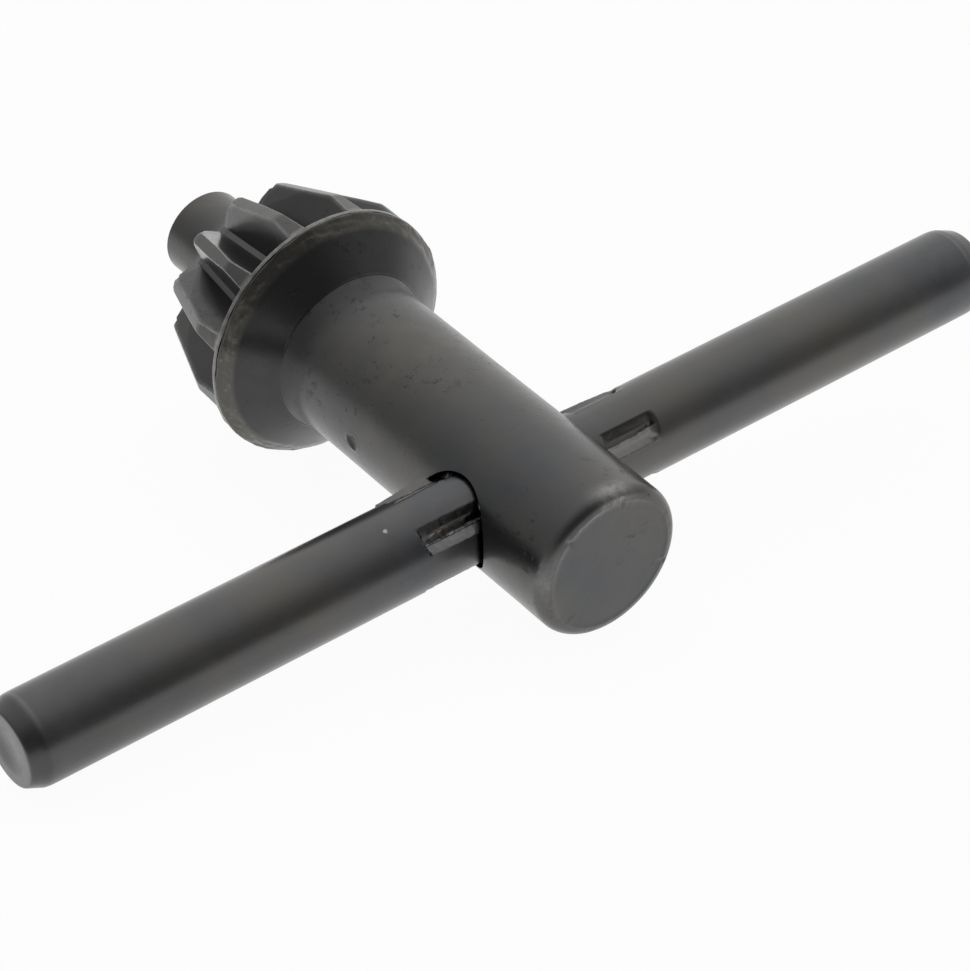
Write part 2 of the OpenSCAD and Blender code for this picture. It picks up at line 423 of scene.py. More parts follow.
def flange_profile(body):
    """(station, radius) from the root ring to the front edge of the rim."""
    rim_back, land = body.rim_back, body.land
    cone_foot = (body.band_foot, body.flange_radius - body.band_width)
    rows = [(body.ring_at, body.ring_radius + 0.04), (body.ring_at + 0.15, body.ring_radius + 0.24)]
    rows += line(rows[-1], cone_foot, 9)
    rows += line(rows[-1], (rim_back - 0.03, body.flange_radius - 0.04), 11)
    rows += [(rim_back + 0.02, body.flange_radius - 0.02), (land - 0.04, body.flange_radius - 0.03)]
    groove = body.flange_radius - 0.07
    rows += [(land - 0.02, groove), (land + 0.02, groove), (land + 0.04, body.flange_radius - 0.02)]
    rows += line((land + 0.06, body.flange_radius), (body.head_reach - 0.06, body.flange_radius), 3)
    rows.append((body.head_reach - 0.015, body.flange_radius - 0.02))
    rows.append((body.head_reach, body.flange_radius - 0.07))
    return rows


def tooth_profile(body, pinion):
    """(station, radius) of the blank under the teeth, from the flange to the fillet of the pilot."""
    crest, end = body.crest, body.teeth_end
    bend = body.head_reach + pinion.crest_level
    rows = line((body.head_reach, crest), (bend - 0.25, crest), 7)
    slope = (crest - pinion.crest_small) / (end - bend)
    rows += [(bend - 0.1, crest - 0.006), (bend, crest - 0.03), (bend + 0.12, crest - slope * 0.12 - 0.012)]
    near = (end - 0.16, pinion.crest_small + slope * 0.16)
    rows += line(rows[-1], near, 30)
    face = (end + pinion.face_rise, pinion.pilot_radius + pinion.nose_fillet)
    rows += [(end - 0.07, near[1] - 0.045), (end - 0.015, near[1] - 0.11)]
    rows += line((end + 0.02, pinion.crest_small - 0.1), face, 10)
    return rows


def pilot_profile(body, pinion):
    """(station, radius) from the fillet of the pilot to its tip."""
    foot = body.teeth_end + pinion.face_rise + pinion.nose_fillet
    tip = foot + pinion.pilot_length
    rows = arc((foot, pinion.pilot_radius + pinion.nose_fillet), pinion.nose_fillet, 180, 270, 12)[1:]
    rows += line(rows[-1], (tip - pinion.pilot_chamfer, pinion.pilot_radius), 7)
    rows += line(rows[-1], (tip, pinion.pilot_radius - pinion.pilot_chamfer), 3)
    rows += line(rows[-1], (tip, 0), 5)[:-1]
    return rows, tip


def ring_points(stations, radii, angles):
    turn = np.radians(angles)
    return np.stack([radii * np.cos(turn), stations + 0 * turn, radii * np.sin(turn)], axis=1)


def cut_ring(station, blank, body, pinion, blend=0):
    """A ring of the blank with the tooth gaps cut in it, and with their edges rounded by blend."""
    angles, half = ring_angles(gap_knots(station, blank, body, pinion), pinion)
    surface = gap_surface(half, station, body, pinion)
    radii = soft_min(surface, blank + 0 * half, blend) if blend else np.minimum(surface, blank)
    return ring_points(station, radii, angles)


def body_rings(body, pinion):
    """Rings of points over the whole key body, from the middle of the end face to the pilot's tip."""
    rings = []
    even = np.linspace(0, 180 / pinion.teeth, KNOTS)
    plain, _ = ring_angles(even, pinion)
    for station, radius in back_profile(body):
        rings.append(ring_points(station, radius, plain[::2]))
    wall_knots = gap_knots(body.head_reach, body.crest, body, pinion)
    flange = flange_profile(body)
    cone_rows = 10
    for i, (station, radius) in enumerate(flange):
        mix = min(1, i / cone_rows)
        angles, _ = ring_angles(even * (1 - mix) + wall_knots * mix, pinion)
        rings.append(ring_points(station, radius, angles))
    angles, half = ring_angles(wall_knots, pinion)
    foot = soft_min(gap_surface(half, body.head_reach, body, pinion), body.crest, EDGE_BLEND)
    for mix in (0.2, 0.4, 0.6, 0.8, 0.95):
        radii = flange[-1][1] * (1 - mix) + foot * mix
        rings.append(ring_points(body.head_reach, radii, angles))
    for station, blank in [(body.head_reach, body.crest)] + tooth_profile(body, pinion):
        rings.append(cut_ring(station, blank, body, pinion, EDGE_BLEND))
    pilot, tip = pilot_profile(body, pinion)
    for station, blank in pilot:
        rings.append(cut_ring(station, blank, body, pinion))
    return rings, (0, -body.end_reach, 0), (0, tip, 0)


def hole_cutter(body):
    """A rod for the cross hole that opens out where it meets the shank, so the mouths are rounded."""
    turn = radians(body.hole_turn)
    centre = (-sin(turn) * body.hole_offset, cos(turn) * body.hole_offset)
    around = np.linspace(0, 2 * pi, 144, endpoint=False)
    flare = ((-1.2, 0), (-0.12, 0), (-0.07, 0.008), (-0.03, 0.025), (0, 0.06), (0.3, 0.36))
    rings = []
    for side in (-1, 1):
        part = []
        for step, grow in flare:
            radius = body.hole_radius + grow
            up = centre[1] + radius * np.sin(around)
            mouth = np.sqrt(np.maximum(body.shank_radius ** 2 - up ** 2, 0))
            across = centre[0] + radius * np.cos(around)
            part.append(np.stack([side * (mouth + step), across, up], axis=1))
        rings += part[::-1] if side < 0 else part
    outside = body.shank_radius + 1
    rings.insert(0, rings[0] * (0, 1, 1) - (outside, 0, 0))
    rings.append(rings[-1] * (0, 1, 1) + (outside, 0, 0))
    return ring_mesh("hole_cutter", rings, (-outside, *centre), (outside, *centre))


def bore(mesh, cutter):
    """Takes the cutter out of the mesh and returns the mesh that is left."""
    target = add_object("bore_target", mesh)
    tool = add_object("bore_tool", cutter)
    modifier = target.modifiers.new("bore", "BOOLEAN")
    modifier.operation = "DIFFERENCE"
    modifier.solver = "MANIFOLD"
    modifier.object = tool
    result = bpy.data.meshes.new_from_object(target.evaluated_get(bpy.context.evaluated_depsgraph_get()))
    for item in (target, tool):
        bpy.data.objects.remove(item)
    return result


# Wear that the photo shows, with painted shade in the pocket and a painted reflection on one tooth, with
# its angles about the key in degrees from the bar over the upper side
BAND_LUMP = 97
BAND_HOLLOW = 160
POCKET = 116
SHEEN_TOOTH = 131
DENT_TURN = 180.8
DENT_STATION = 10.12
# Nicks in the edge of the end face: angle, half width in degrees and depth in millimetres
NICKS = ((133, 3.5, 0.16), (78, 3, 0.1), (335, 3, 0.14))


def around_key(points):
    """Station, distance from the key's axis, and angle about it of each point."""
    turn = np.degrees(np.arctan2(points[:, 2], points[:, 0])) % 360
    return points[:, 1], np.hypot(points[:, 0], points[:, 2]), turn


def from_dent(body, station, turn):
    """Distance from the middle of the hardness test's dent, in radii of the dent."""
    across = body.shank_radius * np.radians((turn - DENT_TURN + 180) % 360 - 180)
    return np.hypot(across, station - DENT_STATION) / (body.dent_width / 2)


def about(turn, middle, width):
    """A smooth bump round the key, one high at its middle and gone at that many degrees from it."""
    away = np.abs((turn - middle + 180) % 360 - 180) / width
    return 1 - smooth_step(0, 1, away)


def roughen_body(points, body, pinion):
    """Moves the points of the key body as forging, trimming, stamping and wear have moved them."""
    out = points.copy()
    station, radius, turn = around_key(points)
    outward = points * (1, 0, 1) / np.maximum(radius, 1e-6)[:, None]
    on_end = station < -body.end_reach + 0.01
    grow = 0.012 * speckle(points, 3.5, 1) + 0.004 * speckle(points, 0.8, 2)
    grow[on_end] = 0
    # The rim and the band behind it were trimmed, which left them torn in long lumps
    foot, land, end = body.band_foot, body.land, body.teeth_end
    on_band = smooth_step(foot - 0.2, foot + 0.1, station) * smooth_step(7.6, 7.95, radius)
    on_band *= station < land - 0.03
    band = on_band > 0
    long_way = np.stack([np.radians(turn) * 3.6, station * 1.6, radius], axis=1)[band]
    torn = 0.08 * speckle(long_way, 0.7, 3, 2) + 0.018 * speckle(points[band], 0.25, 7)
    torn += 0.1 * about(turn[band], BAND_LUMP, 14) - 0.03 * about(turn[band], BAND_HOLLOW, 25)
    grow[band] += on_band[band] * (torn - 0.02)
    groove = (np.abs(station - land) < 0.03) & (radius > 8.5)
    grow[groove] -= (0.03 * speckle(points[groove], 2.2, 9) + 0.02
                     + 0.22 * about(turn[groove], POCKET, 6)
                     + 0.04 * about(turn[groove], BAND_HOLLOW, 12))
    front = (station > land + 0.03) & (station < body.head_reach + 0.01)
    front &= radius > body.flange_radius - 0.1
    grow[front] += 0.018 * speckle(points[front], 0.9, 4)
    out += outward * grow[:, None]
    # The crests are slightly burred along their edges, and their small ends are rounded off
    pitch = 360 / pinion.teeth
    off_crest = np.radians(np.abs((turn - pinion.phase + pitch / 2) % pitch - pitch / 2)) * radius
    tip = (station > end - 0.2) & (station < end + 0.1) & (radius > pinion.crest_small - 0.5)
    out[tip, 1] -= 0.16 * smooth_step(0.2, 0.5, off_crest[tip])
    # The end face is stamped flat and slightly uneven, and its edge is nicked
    face = on_end & (radius < body.shank_radius - body.end_round + 0.05)
    out[face, 1] += 0.012 * speckle(points[face], 1.6, 5) + 0.004 * speckle(points[face], 0.4, 6)
    edge = (radius > 4.3) & (radius < 4.62) & (station < -body.end_reach + 0.04)
    out[edge, 1] += 0.02 * speckle(points[edge], 0.5, 8)
    nicks = sum(depth * about(turn, middle, width) for middle, width, depth in NICKS)
    nicked = (radius > 4.2) & (radius < 4.9) & (station < -body.end_reach + 0.3)
    out[nicked, 1] += (nicks * (1 - smooth_step(0.05, 0.3, np.abs(radius - 4.5))))[nicked]
    # The round dent of the hardness test has a low rim
    away = from_dent(body, station, turn)
    near = (away < 1.6) & (radius < body.shank_radius + 0.1)
    bowl = np.where(away < 1, -0.22 * (1 - away ** 2), 0.03 * hump(away - 1.1, 0.18))
    out[near] += outward[near] * bowl[near][:, None]
    return out


def body_masks(mesh, points, body, pinion):
    """Stores where the body is brown, thickly scaled or painted with shade in its hollows and gaps, ground
    in facets, painted with a reflection on its facets, worn, or painted with shade in the test dent and a
    pocket of the rim.
    """
    station, radius, turn = around_key(points)
    foot, land, end = body.band_foot, body.land, body.teeth_end
    on_band = smooth_step(foot - 0.1, foot + 0.05, station) * smooth_step(7.7, 7.95, radius)
    on_band *= 1 - smooth_step(land - 0.06, land - 0.02, station)
    set_mask(mesh, "brown", on_band)
    # The hollow under the ring and the cone kept a thick dark oxide, which in the hollow under the ring is
    # also painted shade
    scale = between(station, body.ring_at - 2.7, body.ring_at - 0.9, foot - 0.15, foot + 0.05)
    pitch = 360 / pinion.teeth
    half = np.abs((turn - pinion.phase) % pitch - pitch / 2)
    crest = body.crest
    slope = (crest - pinion.crest_small) / (pinion.length - pinion.crest_level)
    blank = np.minimum(crest, crest - slope * (station - body.head_reach - pinion.crest_level))
    gap, facet = gap_cuts(half, station, body, pinion)
    deeper = np.minimum(gap - facet, blank + 0.03 - facet)
    # The flanks of the teeth below their crests get it too, as painted shade in the tooth gaps that grows
    # with depth
    in_gap = smooth_step(0.05, 0.35, blank - radius) * (station > body.head_reach + 0.1)
    in_gap *= 1 - smooth_step(end - 0.1, end + 0.1, station)
    set_mask(mesh, "scale", np.maximum(scale, 0.75 * in_gap))
    in_teeth = (station > body.head_reach + 1) & (station < end + 0.25) & (radius > facet - 0.08)
    set_mask(mesh, "facet", np.where(in_teeth, 0.5 + deeper * 2, 0))
    # The lead-in facets of the teeth are painted lighter as a painted reflection, strongly on one tooth and
    # only faintly on the others
    set_mask(mesh, "painted_facet_sheen", 0.04 + 0.55 * smooth_step(16, 12, np.abs(turn - SHEEN_TOOTH)))
    on_land = smooth_step(land, land + 0.04, station) * smooth_step(8.55, 8.66, radius)
    on_land *= 1 - smooth_step(body.head_reach, body.head_reach + 0.05, station)
    at_crest = (station > body.head_reach + 0.1) & (station < end + 0.05)
    crest_edge = hump(np.minimum(gap, facet) - blank, 0.09) * at_crest
    rounding = smooth_step(4.5, 4.6, radius) * (1 - smooth_step(-8.6, -7.2, station))
    lightened = rounding * (about(turn, 84, 24) + 0.35 * about(turn, 165, 35))
    lip = between(radius, 4.36, 4.42, 4.46, 4.54) * (station < -8.7)
    lip *= 0.1 + 0.9 * about(turn, 110, 75)
    set_mask(mesh, "worn", np.maximum.reduce([on_land * 0.35, crest_edge * 0.45, lightened * 0.5, lip * 0.3]))
    # Painted shade on the wall of the hardness test's dent, only on its side towards the flange
    painted_shade = between(from_dent(body, station, turn), 0.35, 0.6, 0.95, 1.05)
    painted_shade[radius > body.shank_radius + 0.1] = 0
    painted_shade *= smooth_step(-0.25, 0.25, station - DENT_STATION)
    # Painted shade in a torn pocket between the trimmed band and the land
    pocket = (station > body.rim_back - 0.06) & (station < land + 0.03) & (radius > 8.3)
    painted_shade = np.maximum(painted_shade, pocket * smooth_step(0.15, 0.5, about(turn, POCKET - 0.5, 7)))
    set_mask(mesh, "painted_shade", painted_shade)


# The handle bar

def bar_knots(bar):
    """Angles round the bar, closer together across the stake marks."""
    edge = degrees(bar.stake_width / 2 / bar.radius)
    stops = ((-45, -edge - 4, 9), (-edge - 4, -edge, 7), (-edge, -3, 15), (-3, edge, 17),
             (edge, edge + 4, 7), (edge + 4, 45, 9))
    quarter = np.concatenate([np.linspace(a, b, n, endpoint=False) for a, b, n in stops])
    return np.concatenate([quarter + 90 * i for i in range(4)]) + bar.stake_phase


def bar_rows(bar):
    """(place along X, radius) of the plain turned bar, from its low end to its raised end."""
    low = -bar.length / 2 - bar.shift
    high = bar.length / 2 - bar.shift
    end_radius = bar.radius - bar.bevel_depth
    nose = [(0, part * end_radius) for part in (0.15, 0.3, 0.45, 0.6, 0.72, 0.82, 0.9, 0.96)]
    lean = bar.bevel_depth / bar.bevel
    nose += [(0.015, end_radius + 0.005), (0.06, end_radius + 0.05)]
    nose += [(t, end_radius + lean * t + 0.03) for t in (0.2, 0.4, 0.6, 0.8, 1.0)]
    nose += [(1.15, bar.radius - 0.03), (1.3, bar.radius - 0.01), (1.5, bar.radius)]
    marks = np.arange(bar.stake_from - 0.9, bar.stake_to + 0.9, 0.1)
    middle = np.concatenate([np.arange(low + 2.2, -marks[-1] - 0.3, 0.7), -marks[::-1],
                             np.linspace(-marks[0] + 0.4, marks[0] - 0.4, 12), marks,
                             np.arange(marks[-1] + 0.5, high - 1.9, 0.7)])
    rows = [(low + t, r) for t, r in nose]
    rows += [(x, bar.radius) for x in middle]
    rows += [(high - t, r) for t, r in reversed(nose)]
    return rows, low, high


def stake_shape(along, turn, bar):
    """Height of the bar's surface over the plain round, and masks of torn metal, streaks and shade.
    Row 0 of the marks faces the end face, and the others follow a quarter turn apart."""
    edge = bar.stake_width / 2
    right = along > 0
    reach = np.abs(along)
    turn = turn - np.where(right, 1.0, -0.8)
    local = (turn - bar.stake_phase + 45) % 90 - 45
    row = (np.floor((turn - bar.stake_phase + 45) / 90) % 4).astype(int)
    across = np.radians(local + 4 * (row == 1)) * bar.radius
    spot = np.stack([reach, across, row * 3.0 + 12.0 * right], axis=1)
    wobble = speckle(spot, 0.35, 11, 2)
    coarse = speckle(spot, 1.1, 12)
    # Punched marks are skewed a little, and their far ends slope
    skew = np.where(right, 0.03, 0.19) * across
    start = bar.stake_from + np.where(right, 0.95, 0) + skew + 0.05 * coarse
    stop = bar.stake_to + np.where(right, 0.42, 0.05) + skew + 0.06 * coarse
    slope = np.where(right, 0.55, 0.12)
    ends = between(reach, start, start + 0.2, stop - slope, stop)
    bottom = np.where(right, -0.08 + 0.12 * smooth_step(7, 9, reach), -0.16) + 0.03 * coarse
    upper = np.clip((edge - across) / (edge - bottom), 0, None)
    lower = np.clip((across + edge) / (bottom + edge), 0, None)
    inside = np.clip(np.minimum(upper, lower), 0, 1)
    middle = between(reach, start + 0.2, start + 1.4, stop - 1.0, stop - 0.35)
    streak_at = 0.28
    ridge = np.where(right, 0.03, 0.08) * hump(across - streak_at, 0.13) * middle
    burr = (0.07 + 0.08 * wobble) * hump(across - bottom + 0.1, 0.08)
    burr *= np.where(right, 0.4, 1.0)
    knob = right * 0.12 * np.exp(-((across + edge - 0.25) / 0.16) ** 2 - ((reach - stop + 0.35) / 0.3) ** 2)
    rough = np.where(right, 0.012, 0.025) * wobble * (inside > 0.02)
    # Metal pushed up beside a mark starts outside the hole and falls off away from the shank
    fall = smooth_step(4.9, 5.1, reach) * (1 - 0.6 * smooth_step(5.5, stop, reach))
    low_lip = np.array([0.06, 0.1, 0.25, 0.0])[row]
    high_lip = np.array([0.04, 1.0, 0.4, 0.0])[row] * np.where(right, 0.6, 1.0)
    lips = low_lip * hump(across + edge, 0.16)
    lips += high_lip * hump(across - edge, 0.2)
    lips *= bar.lip_height * fall * (1 + 0.07 * wobble)
    height = ends * (lips - bar.stake_depth * inside + ridge + burr + knob + rough)
    # The lower wall of row 0 and the upper wall of row 1 are torn, the other walls are oxidised, and the
    # upper walls of the other rows also get painted shade, strongest on the marks on the right
    lower_wall = smooth_step(bottom + 0.02, bottom - 0.05, across) * smooth_step(-edge - 0.1, -edge, across)
    upper_wall = smooth_step(bottom - 0.02, bottom + 0.05, across) * smooth_step(edge + 0.1, edge, across)
    on_upper = upper_wall * np.where(right, 0.04, 0.08)
    on_lower = lower_wall * np.where(right, 0.22, 0.19)
    torn = ends * np.where(row == 1, on_upper, on_lower)
    crest = np.where(row == 1, across - 0.5, across - bottom + 0.08)
    sparkle = ends * hump(crest, 0.07) * smooth_step(0.05, 0.45, wobble) * ~right
    streak = ends * hump(across - streak_at, 0.13) * middle * np.where(right, 0.1, 1.0) * (row == 0)
    dark = ends * upper_wall * (row != 1) * np.where(right, 1.0, 0.35)
    return height, np.maximum(torn, 0.9 * sparkle), streak, dark


def end_shape(along, radius, turn, bar, low, high):
    """Masks of the bar's ends: a painted highlight on the upper side of the ridge where each bevel starts,
    with a lighter outer ring on the end faces; painted shade on the bevels, more on their lower sides, with
    a darker middle on the end faces; and the shallow dish of its end faces.
    """
    near = np.minimum(along - low, high - along)
    upper = smooth_step(25, 60, turn) * smooth_step(165, 135, turn)
    # Painted highlight: the ridge where the bevel starts is lightened on the bar's upper side only
    ridge = hump(near - bar.bevel - 0.05, 0.09) * upper
    on_face = smooth_step(0.05, 0.01, near) * (radius < bar.radius - bar.bevel_depth + 0.01)
    ring = on_face * smooth_step(1.5, 1.8, radius)
    lightened = np.maximum(0.16 * ridge, 0.12 * ring)
    bevel = smooth_step(bar.bevel + 0.05, bar.bevel - 0.1, near) * smooth_step(0.03, 0.12, near)
    # Painted shade: the bevels are darkened, more on their lower sides, and the end faces are darker in the
    # middle
    end_darkening = np.maximum(0.3 * bevel * (1 - 0.6 * upper), 0.35 * on_face * smooth_step(1.7, 1.3, radius))
    dish = 0.14 * on_face * smooth_step(1.75, 0.3, radius) * np.where(along < 0, 1, -1)
    return lightened, end_darkening, dish


# The materials

def add(tree, kind, links=None, **settings):
    """Adds a node, sets its properties and inputs by name, and links its inputs to other sockets."""
    node = tree.nodes.new(kind)
    for name, value in settings.items():
        if hasattr(node, name):
            setattr(node, name, value)
        else:
            node.inputs[name.replace("_", " ")].default_value = value
    for name, source in (links or {}).items():
        tree.links.new(source, node.inputs[name])
    return node


def blend_colour(tree, share_socket, first, second):
    """Mixes two colours by a share; each is a socket or a linear colour."""
    node = add(tree, "ShaderNodeMix", data_type="RGBA")
    tree.links.new(share_socket, node.inputs[0])
    for index, value in ((6, first), (7, second)):
        if isinstance(value, bpy.types.NodeSocket):
            tree.links.new(value, node.inputs[index])
        else:
            node.inputs[index].default_value = (*value, 1)
    return node.outputs[2]


def levels(tree, value, low, high, to_low=0.0, to_high=1.0):
    """Stretches the part of a value between low and high over a new range."""
    node = add(tree, "ShaderNodeMapRange", {"Value": value}, From_Min=low, From_Max=high, To_Min=to_low,
               To_Max=to_high)
    return node.outputs["Result"]


def calculate(tree, operation, first, second):
    node = add(tree, "ShaderNodeMath", operation=operation)
    for index, value in enumerate((first, second)):
        if isinstance(value, bpy.types.NodeSocket):
            tree.links.new(value, node.inputs[index])
        else:
            node.inputs[index].default_value = value
    return node.outputs[0]


def grain(tree, place_socket, size_mm, detail, roughness=0.5, stretch=None):
    """Noise whose lumps have that size in millimetres. A stretch draws it out along X, Y or Z."""
    if stretch:
        place_socket = add(tree, "ShaderNodeMapping", {"Vector": place_socket}, Scale=stretch).outputs[0]
    node = add(tree, "ShaderNodeTexNoise", {"Vector": place_socket}, Scale=MM / size_mm, Detail=detail,
               Roughness=roughness)
    return node.outputs["Fac"]


def mask(tree, name):
    return add(tree, "ShaderNodeAttribute", attribute_name=name).outputs["Fac"]


def empty_tree(owner):
    """Switches on the nodes of a material or a world, and empties them."""
    owner.use_nodes = True
    owner.node_tree.nodes.clear()
    return owner, owner.node_tree


def times(tree, first, second):
    return calculate(tree, "MULTIPLY", first, second)


def oxide_base(tree, finish, main):
    """Colour, roughness and relief that all the blackened steel shares."""
    where = add(tree, "ShaderNodeAttribute", attribute_name="key_place").outputs["Vector"]
    clouds = grain(tree, where, 7.0, 3)
    patches = grain(tree, where, 1.6, 4, 0.6)
    fine = grain(tree, where, 0.16, 3, 0.6)
    tone = blend_colour(tree, levels(tree, clouds, 0.35, 0.65), finish.cool, finish.warm)
    tone = blend_colour(tree, levels(tree, patches, 0.3, 0.75, 0.15, 0.85), tone, main)
    rough = levels(tree, patches, 0.3, 0.7, finish.roughness - 0.03, finish.roughness + 0.04)
    return where, patches, fine, tone, rough


def add_steel(tree, finish, tone, rough, relief, strength):
    """Adds the blackened metal with its relief, under the oil film, and returns its shader."""
    bump = add(tree, "ShaderNodeBump", {"Height": relief}, Strength=strength, Distance=0.04 / MM)
    shader = add(tree, "ShaderNodeBsdfPrincipled",
                 {"Base Color": tone, "Roughness": rough, "Normal": bump.outputs[0]}, Metallic=1.0,
                 Coat_Weight=finish.oil, Coat_Roughness=finish.oil_roughness)
    add(tree, "ShaderNodeOutputMaterial", {"Surface": shader.outputs[0]})
    return shader


def body_material(finish):
    """Black oxide on forged and turned carbon steel: a dark satin metal with faint cool and warm patches,
    small pits of scale, and lighter metal where the tools of the press have rubbed it. Its thick dark oxide
    is also painted shade in the neck hollow and the tooth gaps, the lead-in facets of the teeth are painted
    lighter as a painted reflection, and the test dent and a torn pocket of the rim carry painted shade."""
    material, tree = empty_tree(bpy.data.materials.new("black_oxide_forged_steel"))
    where, patches, fine, tone, rough = oxide_base(tree, finish, finish.oxide)
    flecks = grain(tree, where, 0.7, 5, 0.65)
    field = grain(tree, where, 4.5, 2)
    pits = times(tree, levels(tree, flecks, 0.57, 0.67), levels(tree, field, 0.46, 0.58, 0.0, 0.85))
    # Thick forged scale, which in the neck hollow and the tooth gaps is also painted shade
    scale_and_shade = times(tree, mask(tree, "scale"), levels(tree, patches, 0.2, 0.7, 0.85, 1.0))
    tone = blend_colour(tree, scale_and_shade, tone, finish.scale)
    tone = blend_colour(tree, pits, tone, finish.pit_and_shade)
    band = times(tree, mask(tree, "brown"), levels(tree, patches, 0.2, 0.6, 0.6, 1.0))
    tone = blend_colour(tree, band, tone, finish.brown)
    # Painted reflection: the lead-in facets of the teeth are lightened towards bare steel
    facet = times(tree, levels(tree, mask(tree, "facet"), 0.5, 0.54), mask(tree, "painted_facet_sheen"))
    facet = times(tree, facet, levels(tree, flecks, 0.3, 0.6, 0.6, 1.0))
    worn = times(tree, mask(tree, "worn"), levels(tree, flecks, 0.35, 0.6, 0.35, 1.0))
    specks = times(tree, mask(tree, "brown"), levels(tree, flecks, 0.55, 0.7, 0.0, 0.14))
    bare = calculate(tree, "MAXIMUM", calculate(tree, "MAXIMUM", facet, worn), specks)
    tone = blend_colour(tree, bare, tone, finish.bare)
    # Painted shade in the test dent and in the torn pocket of the rim
    tone = blend_colour(tree, mask(tree, "painted_shade"), tone, finish.pit_and_shade)
    relief = calculate(tree, "SUBTRACT", fine, times(tree, pits, 2.6))
    relief = times(tree, relief, levels(tree, scale_and_shade, 0, 1, 1.0, 0.3))
    rough = calculate(tree, "SUBTRACT", rough, times(tree, scale_and_shade, 0.06))
    oil = levels(tree, scale_and_shade, 0, 1, finish.oil, finish.oil * 0.25)
    shader = add_steel(tree, finish, tone, rough, relief, 0.26)
    tree.links.new(oil, shader.inputs["Coat Weight"])
    return material


# Middle of the chip in the bar's oxide, in the key's axes in millimetres
CHIP_AT = (-10.6, -0.79, 2.84)


def bar_material(finish):
    """Black oxide on drawn carbon steel: a smoother dark satin, with torn bare steel and a warm streak in
    the stake marks, painted shade in a dark brownish colour on their upper walls, and a sawn face at each
    end. Each bevel has a painted highlight on the upper side of its ridge and painted shade below, and each
    end face is lighter at its outer ring and darker in the middle."""
    material, tree = empty_tree(bpy.data.materials.new("black_oxide_drawn_steel"))
    where, _, fine, tone, rough = oxide_base(tree, finish, finish.drawn)
    draw = grain(tree, where, 0.35, 3, 0.6, (0.06, 1, 1))
    flecks = grain(tree, where, 0.4, 3, 0.6, (0.5, 1, 1))
    # The torn mask also holds the painted highlight on the ridges of the bevels and the lighter outer ring
    # of the end faces
    torn = times(tree, mask(tree, "torn"), levels(tree, flecks, 0.3, 0.65, 0.65, 1.0))
    # Painted shade on the upper walls of the stake marks and on the bevels, and the darker middle of the
    # end faces
    tone = blend_colour(tree, mask(tree, "dark"), tone, finish.pit_and_shade)
    tone = blend_colour(tree, mask(tree, "streak"), tone, finish.stamped)
    # One chip near the first mark shows bare steel
    chip = add(tree, "ShaderNodeVectorMath", {0: where}, operation="DISTANCE")
    chip.inputs[1].default_value = [value / MM for value in CHIP_AT]
    ragged = levels(tree, fine, 0.3, 0.7, 0.0, 0.14 / MM)
    ragged = calculate(tree, "ADD", chip.outputs["Value"], ragged)
    chip = levels(tree, ragged, 0.24 / MM, 0.16 / MM, 0.0, 0.7)
    tone = blend_colour(tree, calculate(tree, "MAXIMUM", torn, chip), tone, finish.bare)
    rough = calculate(tree, "ADD", rough, levels(tree, draw, 0.3, 0.7, -0.03, 0.03))
    relief = calculate(tree, "ADD", fine, times(tree, draw, 0.5))
    add_steel(tree, finish, tone, rough, relief, 0.16)
    return material


def floor_material(studio):
    """White laminated card: it looks white seen directly, keeps a soft shadow, and is mirrored with
    more of its shading in the steel."""
    material, tree = empty_tree(bpy.data.materials.new("white_card"))
    path = add(tree, "ShaderNodeLightPath")
    seen = times(tree, path.outputs["Is Camera Ray"], studio.floor_seen)
    # In the mirrored card the light falls off away from the key and from the bright side
    where = add(tree, "ShaderNodeTexCoord").outputs["Object"]
    far = add(tree, "ShaderNodeVectorMath", {0: where}, operation="LENGTH").outputs["Value"]
    far = calculate(tree, "SUBTRACT", far, faces(tree, where, studio.light_turn, 0))
    lit = levels(tree, far, 0.05, 0.15, studio.floor_mirrored, studio.floor_mirrored * 0.4)
    mirrored = times(tree, path.outputs["Is Glossy Ray"], lit)
    amount = calculate(tree, "MAXIMUM", seen, mirrored)
    card = add(tree, "ShaderNodeBsdfDiffuse", Color=(*studio.floor, 1))
    glow = add(tree, "ShaderNodeEmission", Color=(1, 1, 1, 1), Strength=1.0)
    mix = add(tree, "ShaderNodeMixShader", {0: amount, 1: card.outputs[0], 2: glow.outputs[0]})
    add(tree, "ShaderNodeOutputMaterial", {"Surface": mix.outputs[0]})
    return material


def surround_world(studio):
    """A soft tent of light: bright behind and above the key, fading towards the camera's side, where
    it is darkest near the floor."""
    world, tree = empty_tree(bpy.data.worlds.new("soft_tent"))
    way = add(tree, "ShaderNodeTexCoord").outputs["Generated"]
    rise = faces(tree, way, studio.light_turn, studio.light_height)
    rise = calculate(tree, "POWER", levels(tree, rise, -0.15, 0.95), 1.6)
    light = levels(tree, rise, 0, 1, studio.front, studio.behind)
    dark_side = faces(tree, way, studio.shade_turn, studio.shade_height)
    dark_side = add(tree, "ShaderNodeMapRange", {"Value": dark_side}, interpolation_type="SMOOTHSTEP",
                    From_Min=0.5, From_Max=0.98).outputs["Result"]
    light = times(tree, light, levels(tree, dark_side, 0, 1, 1.0, 1 - studio.shade))
    path = add(tree, "ShaderNodeLightPath")
    strength = calculate(tree, "MAXIMUM", light, path.outputs["Is Camera Ray"])
    background = add(tree, "ShaderNodeBackground", {"Strength": strength}, Color=(1, 1, 1, 1))
    add(tree, "ShaderNodeOutputWorld", {"Surface": background.outputs[0]})
    return world


def faces(tree, way, turn, height):
    """How far a direction, or a place in metres, lies towards one place in the tent."""
    turn, height = radians(turn), radians(height)
    node = add(tree, "ShaderNodeVectorMath", {0: way}, operation="DOT_PRODUCT")
    node.inputs[1].default_value = (sin(turn) * cos(height), cos(turn) * cos(height), sin(height))
    return node.outputs["Value"]


# The operators

